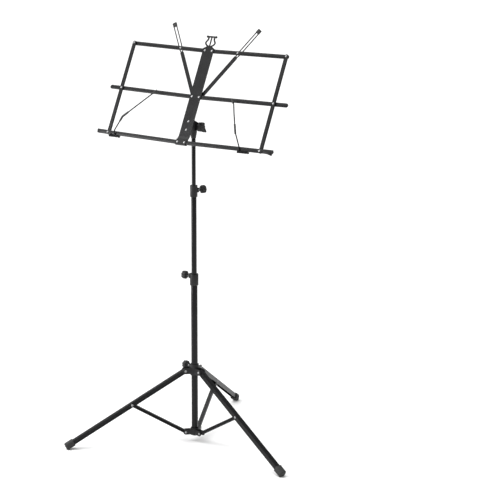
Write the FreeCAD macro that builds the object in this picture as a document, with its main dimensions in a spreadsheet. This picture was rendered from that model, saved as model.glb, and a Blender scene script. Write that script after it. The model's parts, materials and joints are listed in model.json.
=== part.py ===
import FreeCAD, Part
import math
import os
import re

import Sketcher
from FreeCAD import Placement, Rotation, Vector

# Folding music stand. Row frame: origin on the pole axis at floor level, +Z up, the desk's width
# along X, and the musician on the -Y side. Lengths in millimetres, angles in degrees.

os.makedirs("parts", exist_ok=True)
doc = FreeCAD.newDocument("music_stand")

DIMENSIONS = {
    # tripod: legs and braces are equal arms, so the collar rises straight up the tube
    "leg_azimuth": -15.75,
    "pivot_radius": 23.5,
    "arm_length": 154.0,
    "leg_slope": 30.9,
    "leg_length": 340.0,
    "leg_width": 12.0,
    "leg_depth": 11.0,
    "leg_sheet": 1.2,
    "brace_width": 9.0,
    "brace_depth": 8.0,
    "brace_sheet": 1.0,
    "hub_height": 24.9,
    "hub_radius": 10.5,
    "hub_tall": 18.0,
    "collar_tall": 28.0,
    "collar_knob_rise": 6.5,
    "ear_sheet": 2.0,
    "ear_gap_play": 0.3,
    "leg_pin_radius": 2.0,
    "leg_head_radius": 2.9,
    "pin_play": 0.08,
    "foot_length": 23.0,
    "foot_wall": 3.0,
    "foot_end": 5.0,
    # pole
    "lower_radius": 8.0,
    "middle_radius": 6.5,
    "upper_radius": 5.0,
    "tube_wall": 1.0,
    "lower_bottom": 16.8,
    "lower_top": 414.0,
    "middle_bottom": 239.0,
    "middle_top": 627.0,
    "upper_bottom": 443.0,
    "upper_top": 775.0,
    "slide_play": 0.1,
    "guide_tall": 6.0,
    "guide_plug": 24.0,
    "clamp_tall": 27.5,
    "lower_clamp_top": 426.5,
    "middle_clamp_top": 644.6,
    "lower_clamp_radius": 10.4,
    "middle_clamp_radius": 9.0,
    "screw_radius": 2.5,
    "knob_radius": 9.9,
    "knob_tall": 12.0,
    "knob_neck": 4.0,
    "lower_knob_azimuth": 182.0,
    "middle_knob_azimuth": 62.0,
    "collar_knob_azimuth": 164.0,
    "lower_knob_height": 420.9,
    "middle_knob_height": 632.6,
    # desk
    "desk_tilt": 28.3,
    "tilt_height": 787.0,
    "tilt_radius": 8.4,
    "desk_forward": 24.5,
    "tilt_below_middle": 64.9,
    "wing_rise": 0.8,
    "row_pitch": 116.0,
    "pivot_half": 9.75,
    "spine_width": 31.0,
    "spine_sheet": 1.2,
    "foot_step": 3.0,
    "foot_drop": 6.8,
    "foot_lip": 14.2,
    "foot_width": 28.0,
    "bar_width": 10.0,
    "bar_depth": 3.4,
    "bar_sheet": 0.8,
    "layer_play": 0.2,
    "side_reach": 205.5,
    "long_reach": 237.0,
    "left_ledge_reach": 231.5,
    "side_back": 0.4,
    "ledge_back": 4.4,
    "slot_reach": 71.2,
    "page_arm_width": 8.6,
    "page_arm_length": 124.5,
    "page_arm_reach": 210.5,
    "page_arm_angle": 31.9,
    "loop_half": 3.8,
    "loop_wire_radius": 1.3,
    "pivot_pin_radius": 2.0,
    "pivot_head_radius": 2.6,
    "clip_wire_radius": 1.2,
    "clip_coil_radius": 2.8,
    "clip_axis_drop": 8.0,
    "clip_axis_depth": 7.4,
    "clip_pin_radius": 0.75,
    "clip_sleeve_radius": 1.75,
}

sheet = doc.addObject("Spreadsheet::Sheet", "Sizes")
for row, (alias, number) in enumerate(DIMENSIONS.items(), start=1):
    sheet.set(f"A{row}", alias)
    sheet.set(f"B{row}", str(number))
    sheet.setAlias(f"B{row}", alias)
doc.recompute()

WORD = re.compile(r"\b(" + "|".join(DIMENSIONS) + r")\b")
X_AXIS = Vector(1, 0, 0)
Y_AXIS = Vector(0, 1, 0)
Z_AXIS = Vector(0, 0, 1)
HOME = Placement()
nodes = {}


def size(alias):
    return float(sheet.get(alias))


def bind(obj, prop, formula):
    """Bind one property of an object to a formula of the sheet's aliases."""
    obj.setExpression(prop, WORD.sub(r"Sizes.\1", formula))


def keep(name, obj, placement=HOME):
    """Name an object as a sub-part and put it in its place."""
    obj.Label = name
    obj.Placement = placement
    nodes[name] = obj
    return obj


def at(x, y, z, rotation=Rotation()):
    return Placement(Vector(x, y, z), rotation)


def turn(axis, angle):
    return Placement(Vector(), Rotation(axis, angle))


# ---- Part primitives and booleans -------------------------------------------------------------

def primitive(kind, placement=HOME, **sizes):
    obj = doc.addObject("Part::" + kind, kind)
    for prop, formula in sizes.items():
        bind(obj, prop, formula)
    obj.Placement = placement
    return obj


def cylinder(radius, height, placement=HOME):
    return primitive("Cylinder", placement, Radius=radius, Height=height)


def box(length, width, height, placement=HOME):
    """A box whose placement is that of its lowest corner."""
    return primitive("Box", placement, Length=length, Width=width, Height=height)


def fuse(*shapes):
    obj = doc.addObject("Part::MultiFuse", "Fuse")
    obj.Shapes = list(shapes)
    obj.Refine = True
    return obj


def cut(base, *tools):
    obj = doc.addObject("Part::Cut", "Cut")
    obj.Base = base
    obj.Tool = tools[0] if len(tools) == 1 else fuse(*tools)
    obj.Refine = True
    return obj


def feature(name, shape, placement=HOME):
    """A sub-part whose shape is built directly, in its own frame."""
    obj = doc.addObject("Part::Feature", "Shape")
    obj.Shape = shape
    return keep(name, obj, placement)


# ---- PartDesign bodies ------------------------------------------------------------------------

def new_body():
    return doc.addObject("PartDesign::Body", "Body")


def new_sketch(body, plane):
    sketch = body.newObject("Sketcher::SketchObject", "Sketch")
    planes = {item.Role: item for item in body.Origin.OriginFeatures}
    sketch.AttachmentSupport = [(planes[plane], "")]
    sketch.MapMode = "FlatFace"
    return sketch


def named(sketch, name, constraint, formula):
    """Add a constraint with a name, bound to a formula of the sheet."""
    index = sketch.addConstraint(constraint)
    sketch.renameConstraint(index, name)
    bind(sketch, "Constraints." + name, formula)


def value_of(formula):
    """The number that a formula of aliases gives, found by the sheet itself."""
    sheet.set("D1", "=" + formula)
    sheet.recompute()
    return float(sheet.get("D1"))


def draw_stadium(sketch, length, radius):
    """A round-ended outline from the origin to (length, 0)."""
    reach = value_of(length)
    half = value_of(radius)
    quarter = math.pi / 2
    near_circle = Part.Circle(Vector(), Z_AXIS, half)
    far_circle = Part.Circle(Vector(reach, 0, 0), Z_AXIS, half)
    near = sketch.addGeometry(Part.ArcOfCircle(near_circle, quarter, 3 * quarter))
    low = sketch.addGeometry(Part.LineSegment(Vector(0, -half, 0), Vector(reach, -half, 0)))
    far = sketch.addGeometry(Part.ArcOfCircle(far_circle, -quarter, quarter))
    high = sketch.addGeometry(Part.LineSegment(Vector(reach, half, 0), Vector(0, half, 0)))
    for first, second in ((near, low), (low, far), (far, high), (high, near)):
        sketch.addConstraint(Sketcher.Constraint("Tangent", first, 2, second, 1))
    sketch.addConstraint(Sketcher.Constraint("Horizontal", low))
    sketch.addConstraint(Sketcher.Constraint("Coincident", near, 3, -1, 1))
    sketch.addConstraint(Sketcher.Constraint("PointOnObject", far, 3, -1))
    named(sketch, "half", Sketcher.Constraint("Radius", near, half), radius)
    named(sketch, "reach", Sketcher.Constraint("DistanceX", -1, 1, far, 3, reach), length)


def draw_rectangle(sketch, left, right, low, high):
    """A rectangle between four signed positions, each a formula."""
    numbers = [value_of(item) for item in (left, right, low, high)]
    x0, x1, y0, y1 = numbers
    corners = [Vector(x0, y0, 0), Vector(x1, y0, 0), Vector(x1, y1, 0), Vector(x0, y1, 0)]
    for start, end in zip(corners, corners[1:] + corners[:1]):
        sketch.addGeometry(Part.LineSegment(start, end))
    for side in range(4):
        sketch.addConstraint(Sketcher.Constraint("Coincident", side, 2, (side + 1) % 4, 1))
        direction = "Vertical" if side % 2 else "Horizontal"
        sketch.addConstraint(Sketcher.Constraint(direction, side))
    named(sketch, "left", Sketcher.Constraint("DistanceX", -1, 1, 0, 1, x0), left)
    named(sketch, "right", Sketcher.Constraint("DistanceX", -1, 1, 0, 2, x1), right)
    named(sketch, "low", Sketcher.Constraint("DistanceY", -1, 1, 0, 1, y0), low)
    named(sketch, "high", Sketcher.Constraint("DistanceY", -1, 1, 2, 1, y1), high)


def draw_holes(sketch, positions, radius):
    """Circles on the sketch's X axis, at formulas, all of one radius."""
    half = value_of(radius)
    for index, place in enumerate(positions):
        x = value_of(place)
        circle = sketch.addGeometry(Part.Circle(Vector(x, 0, 0), Z_AXIS, half))
        sketch.addConstraint(Sketcher.Constraint("PointOnObject", circle, 3, -1))
        named(sketch, f"radius{index}", Sketcher.Constraint("Radius", circle, half), radius)
        if abs(x) < 1e-9:
            sketch.addConstraint(Sketcher.Constraint("PointOnObject", circle, 3, -2))
        else:
            spacing = Sketcher.Constraint("DistanceX", -1, 1, circle, 3, x)
            named(sketch, f"place{index}", spacing, place)


def pad(body, sketch, length, both_ways=False):
    made = body.newObject("PartDesign::Pad", "Pad")
    made.Profile = sketch
    made.Midplane = both_ways
    bind(made, "Length", length)
    return made


def pocket(body, sketch, length, both_ways=False):
    """Cut away along the side of the sketch that the pads of this body stand on."""
    made = body.newObject("PartDesign::Pocket", "Pocket")
    made.Profile = sketch
    made.Midplane = both_ways
    made.Reversed = not both_ways
    bind(made, "Length", length)
    return made


# ---- shapes built directly --------------------------------------------------------------------

def cap_arc(radius, base, rise):
    """A quarter outline of a spherical cap on the Z axis; a negative rise points down."""
    ball = (radius * radius + rise * rise) / (2 * abs(rise))
    way = math.copysign(1.0, rise)
    centre = base + rise - way * ball
    half_angle = math.asin(radius / ball) / 2
    middle = Vector(ball * math.sin(half_angle), 0, centre + way * ball * math.cos(half_angle))
    return Part.Arc(Vector(0, 0, base + rise), middle, Vector(radius, 0, base))


def rivet(pin_radius, grip, head_radius, tail_radius, rise=1.3):
    """A rivet along Z: the tail's inner face at 0, the domed head's inner face at the grip."""
    tail_rise = 0.8 * rise
    outline = [
        Part.LineSegment(Vector(0, 0, -tail_rise), Vector(0, 0, grip + rise)),
        cap_arc(head_radius, grip, rise),
        Part.LineSegment(Vector(head_radius, 0, grip), Vector(pin_radius, 0, grip)),
        Part.LineSegment(Vector(pin_radius, 0, grip), Vector(pin_radius, 0, 0)),
        Part.LineSegment(Vector(pin_radius, 0, 0), Vector(tail_radius, 0, 0)),
        cap_arc(tail_radius, 0, -tail_rise),
    ]
    face = Part.Face(Part.Wire(Part.__sortEdges__([item.toShape() for item in outline])))
    return face.revolve(Vector(), Z_AXIS, 360)


def rounded_path(points, bend_radius):
    """Straight runs through the points, joined by tangent arcs."""
    edges = []
    start = points[0]
    for before, corner, after in zip(points, points[1:], points[2:]):
        way_in = (corner - before).normalize()
        way_out = (after - corner).normalize()
        half_turn = way_in.getAngle(way_out) / 2
        back = bend_radius * math.tan(half_turn)
        inward = (way_out - way_in).normalize()
        centre = corner + inward * (bend_radius / math.cos(half_turn))
        arc_start = corner - way_in * back
        arc_end = corner + way_out * back
        edges.append(Part.LineSegment(start, arc_start).toShape())
        edges.append(Part.Arc(arc_start, centre - inward * bend_radius, arc_end).toShape())
        start = arc_end
    edges.append(Part.LineSegment(start, points[-1]).toShape())
    return Part.Wire(edges)


def rod(points, bend_radius, radius):
    """A round wire along a bent path."""
    path = rounded_path(points, bend_radius)
    ring = Part.Wire(Part.makeCircle(radius, points[0], points[1] - points[0]))
    return path.makePipeShell([ring], True, False)


def plate(points, thickness_way):
    """A flat polygon pushed along a vector."""
    return Part.Face(Part.makePolygon(points + points[:1])).extrude(thickness_way)


def placed(shape, placement):
    moved = shape.copy()
    moved.Placement = placement.multiply(moved.Placement)
    return moved


def group(shapes):
    return Part.makeCompound(shapes)


# ---- pressed channels -------------------------------------------------------------------------

def channel_bar(holes, reach, width, hole_radius, open_end="0"):
    """A flat bar pressed as a channel: web in front (-Y), open at the back, round ends."""
    body = new_body()
    outline = new_sketch(body, "XZ_Plane")
    draw_stadium(outline, reach, f"{width} / 2")
    pad(body, outline, "bar_depth")
    hollow = new_sketch(body, "XZ_Plane")
    draw_stadium(hollow, f"{reach} + {open_end}", f"{width} / 2 - bar_sheet")
    pocket(body, hollow, "bar_depth - bar_sheet")
    drilled = new_sketch(body, "XZ_Plane")
    draw_holes(drilled, holes, hole_radius)
    pocket(body, drilled, "bar_depth + 1")
    return body


def strut(holes, reach, width, depth, wall):
    """A leg or brace: a channel along X with its web on top (+Z) and round ends."""
    body = new_body()
    outline = new_sketch(body, "XZ_Plane")
    draw_stadium(outline, reach, f"{depth} / 2")
    pad(body, outline, width, both_ways=True)
    hollow = new_sketch(body, "XZ_Plane")
    draw_rectangle(hollow, f"-{depth}", f"{reach} + {depth}", f"-{depth}", f"{depth} / 2 - {wall}")
    pocket(body, hollow, f"{width} - 2 * {wall}", both_ways=True)
    for place, radius in holes:
        drilled = new_sketch(body, "XZ_Plane")
        draw_holes(drilled, [place], radius)
        pocket(body, drilled, f"{width} + 2", both_ways=True)
    return body


# ---- tripod -----------------------------------------------------------------------------------

COLLAR_HEIGHT = value_of("hub_height + 2 * arm_length * sin(leg_slope * 1 deg)")
ACROSS = Rotation(X_AXIS, -90)
ALONG_X = Rotation(Y_AXIS, 90)


def leg_turn(number):
    return turn(Z_AXIS, size("leg_azimuth") + 120 * number)


def eared_ring(name, height, below, tall, tube_radius, ear_radius, leg_width, knob_azimuth=None):
    """A ring round the tube with three pairs of ears; its zero height is the pins' height."""
    gap = f"({leg_width} + 2 * ear_gap_play)"
    breadth = f"({gap} + 2 * ear_sheet)"
    half_breadth = value_of(f"{breadth} / 2")
    half_gap = value_of(f"{gap} / 2")
    ear = value_of(ear_radius)
    reach = size("pivot_radius")
    solids = [cylinder("hub_radius", tall, at(0, 0, -value_of(below)))]
    tools = [cylinder(tube_radius, f"{tall} + 2", at(0, 0, -value_of(below) - 1))]
    for number in range(3):
        way = leg_turn(number)
        low_corner = way.multiply(at(0, -half_breadth, -ear))
        solids.append(box("pivot_radius", breadth, f"2 * {ear_radius}", low_corner))
        tip = way.multiply(at(reach, -half_breadth, 0, ACROSS))
        solids.append(cylinder(ear_radius, breadth, tip))
        slot_corner = way.multiply(at(size("hub_radius") + 1, -half_gap, -ear - 1))
        tools.append(box(f"pivot_radius + {ear_radius}", gap, f"2 * {ear_radius} + 2", slot_corner))
        pin = way.multiply(at(reach, -half_breadth - 1, 0, ACROSS))
        tools.append(cylinder("leg_pin_radius", f"{breadth} + 2", pin))
    if knob_azimuth:
        boss = turn(Z_AXIS, size(knob_azimuth)).multiply(at(0, 0, size("collar_knob_rise"), ALONG_X))
        solids.append(cylinder("5.5", "16.5", boss))
        tools.append(cylinder("screw_radius + slide_play", "20", boss))
    ring = cut(fuse(*solids), *tools)
    keep(name, ring, at(0, 0, height))
    rivets = []
    leg_head = size("leg_head_radius")
    for number in range(3):
        seat = leg_turn(number).multiply(at(reach, -half_breadth, height, ACROSS))
        shape = rivet(size("leg_pin_radius"), 2 * half_breadth, leg_head, leg_head)
        rivets.append(placed(shape, seat))
    return rivets


def leg_foot(leg_place):
    """A rubber boot on the channel's end, with a small flat where it meets the floor."""
    wide = value_of("leg_width + 2 * foot_wall")
    deep = value_of("leg_depth + 2 * foot_wall")
    start = value_of("leg_length + foot_end - foot_length")
    corner = at(start, -wide / 2, -deep / 2)
    block = box("foot_length", "leg_width + 2 * foot_wall", "leg_depth + 2 * foot_wall", corner)
    rounded = doc.addObject("Part::Fillet", "Fillet")
    rounded.Base = block
    rounded.Edges = [(edge, 2.5, 2.5) for edge in range(1, 13)]
    socket = at(start - 1, -size("leg_width") / 2, -size("leg_depth") / 2)
    hollow = box("foot_length - foot_end + 1", "leg_width", "leg_depth", socket)
    floor = box("200", "100", "50", leg_place.inverse().multiply(at(200, -50, -50)))
    return cut(rounded, hollow, floor)


def build_tripod():
    slope = size("leg_slope")
    reach = size("pivot_radius")
    pin = "leg_pin_radius"
    loose = "leg_pin_radius + pin_play"
    hub_rivets = eared_ring(
        "tube_hub", size("hub_height"), "8.4", "hub_tall", "lower_radius", "6", "brace_width"
    )
    feature("hub_rivets", group(hub_rivets))
    collar_rivets = eared_ring(
        "leg_collar", COLLAR_HEIGHT, "12", "collar_tall", "lower_radius + slide_play",
        "7.2", "leg_width", "collar_knob_azimuth",
    )
    feature("collar_rivets", group(collar_rivets))
    level_leg = at(reach, 0, COLLAR_HEIGHT, Rotation(Y_AXIS, slope))
    level_brace = at(reach, 0, size("hub_height"), Rotation(Y_AXIS, -slope))
    for number in range(3):
        tag = str(number + 1)
        way = leg_turn(number)
        leg_holes = [("0", loose), ("arm_length", pin)]
        leg = strut(leg_holes, "(leg_length - leg_depth / 2)", "leg_width", "leg_depth", "leg_sheet")
        keep("leg_" + tag, leg, way.multiply(level_leg))
        keep("leg_foot_" + tag, leg_foot(level_leg), way.multiply(level_leg))
        brace_holes = [("0", loose), ("arm_length", loose)]
        brace = strut(brace_holes, "arm_length", "brace_width", "brace_depth", "brace_sheet")
        keep("brace_" + tag, brace, way.multiply(level_brace))
        seat = at(size("arm_length"), -size("leg_width") / 2, 0, ACROSS)
        shape = rivet(size(pin), size("leg_width"), size("leg_head_radius"), size("leg_head_radius"))
        feature("leg_rivet_" + tag, shape, way.multiply(level_leg).multiply(seat))


# ---- pole -------------------------------------------------------------------------------------

def tube(name, radius, bottom, top):
    outer = cylinder(radius, f"{top} - {bottom}")
    inner = cylinder(f"{radius} - tube_wall", f"{top} - {bottom}")
    keep(name, cut(outer, inner), at(0, 0, size(bottom)))


def guide(name, inner_radius, outer_radius, tube_bottom):
    """A plug in a tube's lower end that slides in the tube around it and turns in its own."""
    rim = cylinder(f"{outer_radius} - tube_wall - pin_play", "guide_tall", at(0, 0, -size("guide_tall")))
    shank = cylinder(f"{inner_radius} - tube_wall - pin_play", "guide_plug")
    play = 0.2
    keep(name, fuse(rim, shank), at(0, 0, size(tube_bottom) - play))


def clamp(name, radius, tube_radius, slider_radius, tube_top, top, knob_height, azimuth):
    """A sleeve fixed on a tube's top; its screw boss points at +X before it is turned."""
    bottom = value_of(f"{top} - clamp_tall")
    knob_up = size(knob_height) - bottom
    barrel = cylinder(radius, "clamp_tall")
    boss = box(f"{radius} + 3", "9", "11", at(0, -4.5, knob_up - 5.5))
    through = cylinder(f"{slider_radius} + slide_play", "clamp_tall + 2", at(0, 0, -1))
    seat = cylinder(tube_radius, f"{tube_top} - {top} + clamp_tall + 1", at(0, 0, -1))
    screw_way = cylinder("screw_radius + slide_play", f"{radius} + 10", at(0, 0, knob_up, ALONG_X))
    sleeve = cut(fuse(barrel, boss), through, seat, screw_way)
    keep(name, sleeve, at(0, 0, bottom, Rotation(Z_AXIS, size(azimuth))))


def thumb_knob(name, seat_radius, screw_start, height, azimuth):
    """A seven-lobed knob and its screw, both built along Z and then laid on the azimuth."""
    lobes = 7
    way = turn(Z_AXIS, size(azimuth)).multiply(at(0, 0, 0, ALONG_X))
    neck = primitive("Cone", Radius1="4.2", Radius2="5.6", Height="knob_neck + 0.1")
    disc = cylinder("knob_radius", "knob_tall", at(0, 0, size("knob_neck")))
    rounded = doc.addObject("Part::Fillet", "Fillet")
    rounded.Base = disc
    rounded.Edges = [(1, 1.6, 1.6), (3, 1.6, 1.6)]
    dish = primitive("Cone", Radius1="5.5", Radius2="7", Height="1.5")
    dish.Placement = at(0, 0, value_of("knob_neck + knob_tall - 1.4"))
    grooves = []
    for number in range(lobes):
        spot = turn(Z_AXIS, 360 * number / lobes).multiply(at(size("knob_radius") + 1.3, 0, 0))
        grooves.append(cylinder("2.9", "knob_neck + knob_tall + 1", spot))
    screw_hole = cylinder("screw_radius", "knob_neck + 4")
    knob = cut(fuse(neck, rounded), dish, screw_hole, *grooves)
    lift = at(0, 0, height)
    keep(name, knob, lift.multiply(way).multiply(at(0, 0, seat_radius)))
    screw = cylinder("screw_radius", f"{seat_radius - screw_start} + knob_neck + 4")
    keep(name + "_screw", screw, lift.multiply(way).multiply(at(0, 0, screw_start)))


def tilt_head():
    """The block on the upper tube's end that the desk's bracket straddles."""
    barrel_corner = at(-value_of("spine_width / 2 - 2.4"), 0, 0, ALONG_X)
    barrel = cylinder("tilt_radius", "spine_width - 4.8", barrel_corner)
    body = cylinder("tilt_radius", "14", at(0, 0, -14))
    neck = primitive("Cone", at(0, 0, -28), Radius1="upper_radius + 1", Radius2="tilt_radius", Height="14")
    socket_floor = value_of("upper_top - tilt_height")
    socket = cylinder("upper_radius", "20", at(0, 0, socket_floor - 20))
    bolt_way = cylinder("3 + pin_play", "40", at(-20, 0, 0, ALONG_X))
    head = cut(fuse(barrel, body, neck), socket, bolt_way)
    keep("tilt_head", head, at(0, 0, size("tilt_height")))


def build_pole():
    tube("lower_tube", "lower_radius", "lower_bottom", "lower_top")
    tube("middle_tube", "middle_radius", "middle_bottom", "middle_top")
    tube("upper_tube", "upper_radius", "upper_bottom", "upper_top")
    guide("middle_guide", "middle_radius", "lower_radius", "middle_bottom")
    guide("upper_guide", "upper_radius", "middle_radius", "upper_bottom")
    clamp("lower_clamp", "lower_clamp_radius", "lower_radius", "middle_radius", "lower_top",
          "lower_clamp_top", "lower_knob_height", "lower_knob_azimuth")
    clamp("middle_clamp", "middle_clamp_radius", "middle_radius", "upper_radius", "middle_top",
          "middle_clamp_top", "middle_knob_height", "middle_knob_azimuth")
    seat_gap = 5.8
    tip_gap = 0.3
    thumb_knob("lower_knob", size("lower_clamp_radius") + seat_gap, size("middle_radius") + tip_gap,
               size("lower_knob_height"), "lower_knob_azimuth")
    thumb_knob("middle_knob", size("middle_clamp_radius") + seat_gap, size("upper_radius") + tip_gap,
               size("middle_knob_height"), "middle_knob_azimuth")
    thumb_knob("collar_knob", 22.6, size("lower_radius") + tip_gap,
               COLLAR_HEIGHT + size("collar_knob_rise"), "collar_knob_azimuth")
    tilt_head()


# ---- desk centre ------------------------------------------------------------------------------
# In the desk's own frame X runs along the desk, Z up the spine and Y back from its front.

TILT = Rotation(X_AXIS, -size("desk_tilt"))
TILT_FRAME = at(0, 0, size("tilt_height"), TILT)
DESK = TILT_FRAME.multiply(at(0, -size("desk_forward"), size("tilt_below_middle")))
FRONTWARD = Rotation(X_AXIS, 90)
TOP_ROW = size("row_pitch")
LOW_ROW = -size("row_pitch")
FLAT_FRONT = -size("layer_play")
LEDGE_FRONT = size("ledge_back") + size("bar_depth")
BRACKET_RIVETS = (-62.0, -83.0)


def lyre(sheet_way):
    """The ornament over the spine: two bowed sides, a stem and a bar with ball ends."""
    base = 118.0
    neck = 128.0
    crown = 150.5
    half_top = 12.2
    stroke = 2.0
    half_stem = 1.7
    flare = [Vector(-15.5, 0, base), Vector(15.5, 0, base), Vector(16, 0, base + 3)]
    flare += [Vector(4.5, 0, neck), Vector(-4.5, 0, neck), Vector(-16, 0, base + 3)]
    parts = [plate(flare, sheet_way)]
    side_points = [(3.6, neck - 1), (10.8, 131), (12.8, 135.6), (10.2, 140.2), (8.2, 144.6), (9.2, crown)]
    for side in (-1, 1):
        curve = Part.BSplineCurve()
        curve.interpolate([Vector(side * x, 0, z) for x, z in side_points])
        path = Part.Wire(curve.toShape())
        start = path.Edges[0].valueAt(path.Edges[0].FirstParameter)
        ahead = path.Edges[0].tangentAt(path.Edges[0].FirstParameter)
        across = ahead.cross(Y_AXIS).normalize() * stroke
        corners = [start - across, start + across]
        corners += [corners[1] + sheet_way, corners[0] + sheet_way]
        profile = Part.makePolygon(corners + corners[:1])
        parts.append(path.makePipeShell([profile], True, False))
        ball = Part.makeCylinder(2.8, sheet_way.Length, Vector(side * half_top, 0, crown), sheet_way)
        parts.append(ball)
    bar_low = crown - stroke
    bar = [Vector(-half_top, 0, bar_low), Vector(half_top, 0, bar_low)]
    bar += [Vector(half_top, 0, crown + stroke), Vector(-half_top, 0, crown + stroke)]
    parts.append(plate(bar, sheet_way))
    stem = [Vector(-half_stem, 0, neck - 1), Vector(half_stem, 0, neck - 1)]
    stem += [Vector(half_stem, 0, crown), Vector(-half_stem, 0, crown)]
    parts.append(plate(stem, sheet_way))
    return parts


def spine_plate():
    """The flat spine with the lyre above and, below, a foot folded up in front of the ledge bars."""
    half = size("spine_width") / 2
    sheet_thick = size("spine_sheet")
    step = size("foot_step")
    bend_top = -100.0
    bend_low = -107.0
    foot_end = LOW_ROW - size("foot_drop")
    side_view = [(0, 122), (0, bend_top), (-step, bend_low), (-step, foot_end)]
    front = [(y - sheet_thick, z + 0.5 * sheet_thick * (z in (bend_top, bend_low))) for y, z in side_view]
    outline = [Vector(-half, y, z) for y, z in side_view + front[::-1]]
    spine = plate(outline, Vector(2 * half, 0, 0))
    lip_back = LEDGE_FRONT + size("layer_play")
    lip_front = -lip_back - sheet_thick
    foot_wide = size("foot_width")
    foot_corner = Vector(-foot_wide / 2, lip_front, foot_end)
    tray = Part.makeBox(foot_wide, lip_back + sheet_thick - step, sheet_thick, foot_corner)
    lip = Part.makeBox(foot_wide, sheet_thick, size("foot_lip"), foot_corner)
    spine = spine.fuse(tray).fuse(lip)
    sheet_way = Vector(0, -sheet_thick, 0)
    for part in lyre(sheet_way):
        spine = spine.fuse(part)
    spine = spine.removeSplitter()
    holes = []
    for row_height in (TOP_ROW, 0, LOW_ROW):
        for side in (-1, 1):
            spot = Vector(side * size("pivot_half"), 10, row_height)
            holes.append(Part.makeCylinder(size("pivot_pin_radius"), 20, spot, Vector(0, -1, 0)))
    for height in BRACKET_RIVETS:
        holes.append(Part.makeCylinder(2.0, 20, Vector(0, 10, height), Vector(0, -1, 0)))
    feature("spine_plate", spine.cut(group(holes)), DESK)


def tilt_bracket():
    """A folded bracket: its base lies on the spine's back and its ears straddle the head."""
    half = size("spine_width") / 2 - 0.5
    metal = 1.6
    front = -size("desk_forward")
    ear_end = 8.5
    low, high = -26.0, 8.0
    outline = [Vector(-half, front, low), Vector(-half, 0, -ear_end), Vector(-half, 0, ear_end)]
    outline.append(Vector(-half, front, high))
    block = plate(outline, Vector(2 * half, 0, 0))
    block = block.fuse(Part.makeCylinder(ear_end, 2 * half, Vector(-half, 0, 0), X_AXIS))
    inner = half - metal
    room = Part.makeBox(2 * inner, 60, 60, Vector(-inner, front + metal, -30))
    bolt_hole = Part.makeCylinder(3.0, 2 * half + 2, Vector(-half - 1, 0, 0), X_AXIS)
    bracket = block.removeSplitter().cut(room).cut(bolt_hole)
    for height in BRACKET_RIVETS:
        spot = Vector(0, front - 5, height + size("tilt_below_middle"))
        bracket = bracket.cut(Part.makeCylinder(2.0, 10, spot, Y_AXIS))
    feature("tilt_bracket", bracket, TILT_FRAME)
    rivets = []
    for height in BRACKET_RIVETS:
        shape = rivet(2.0, size("spine_sheet") + metal, 2.6, 2.6)
        rivets.append(placed(shape, at(0, metal, height, FRONTWARD)))
    feature("bracket_rivets", group(rivets), DESK)


def tilt_bolt_and_knob():
    """A bolt through ears and head, and the wing knob that pulls it tight."""
    half = size("spine_width") / 2 - 0.5
    bolt = rivet(3.0, 2 * half + 13.5, 2.4, 6.0, rise=2.4)
    feature("tilt_bolt", bolt, TILT_FRAME.multiply(at(-half, 0, 0, ALONG_X)))
    start = half + 0.3
    hub = Part.makeCylinder(11.0, 7.5, Vector(start, 0, 0), X_AXIS)
    wing = [Vector(start + 2, -3.6, -9), Vector(start + 9, -3.6, -11.8), Vector(start + 19, -3.6, -13.6)]
    wing += [Vector(start + 19, -3.6, 13.6), Vector(start + 9, -3.6, 11.8), Vector(start + 2, -3.6, 9)]
    wings = plate(wing, Vector(0, 7.2, 0))
    wings = wings.makeFillet(2.2, wings.Edges)
    knob = hub.fuse(wings).removeSplitter()
    knob = knob.cut(Part.makeCylinder(3.0 + size("pin_play"), 17.5, Vector(start - 1, 0, 0), X_AXIS))
    wing_lean = 18.4
    feature("tilt_knob", knob, at(0, 0, size("tilt_height"), Rotation(X_AXIS, wing_lean)))


def spine_rivets():
    """Six pivot pins: on each side for the top, middle and ledge rows."""
    pin = size("pivot_pin_radius")
    cap = size("pivot_head_radius")
    front = size("spine_sheet")
    web_back = size("layer_play") + size("bar_sheet")
    arm_web_back = 2 * size("layer_play") + size("bar_depth") + 0.1 + size("bar_sheet")
    ledge_front = size("ledge_back") + size("bar_depth") + size("layer_play")
    rows = [
        (TOP_ROW, -web_back - size("layer_play"), front),
        (0, -arm_web_back - size("layer_play"), front),
        (LOW_ROW, size("foot_step"), ledge_front + size("spine_sheet")),
    ]
    rivets = []
    for row_height, tail, head in rows:
        for side in (-1, 1):
            seat = at(side * size("pivot_half"), -tail, row_height, FRONTWARD)
            rivets.append(placed(rivet(pin, head - tail, cap, cap), seat))
    feature("spine_rivets", group(rivets), DESK)


# ---- wings ------------------------------------------------------------------------------------

def along_bar(side, angle):
    """Turns a part built along X so that it points out along its wing, raised by the angle."""
    return Rotation(Y_AXIS, -angle if side > 0 else 180 + angle)


def bar_place(side, row_height, back):
    turned = along_bar(side, size("wing_rise"))
    return DESK.multiply(at(side * size("pivot_half"), -back, row_height, turned))


BAR_BACK = FLAT_FRONT - size("bar_depth")
ARM_BACK = BAR_BACK - 0.3 - size("bar_depth")


def ledge_end(reach, flare):
    """The flattened, square end of a ledge bar, in the plane of its web, flared downward."""
    half = size("bar_width") / 2
    end = size(reach) + half
    front = -size("bar_depth")
    outline = [Vector(end - 26, front, half), Vector(end - 26, front, -half)]
    outline += [Vector(end - 2, front, -half - flare), Vector(end, front, half)]
    flat = doc.addObject("Part::Feature", "Flat")
    flat.Shape = plate(outline, Vector(0, size("bar_sheet"), 0))
    return flat


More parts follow.
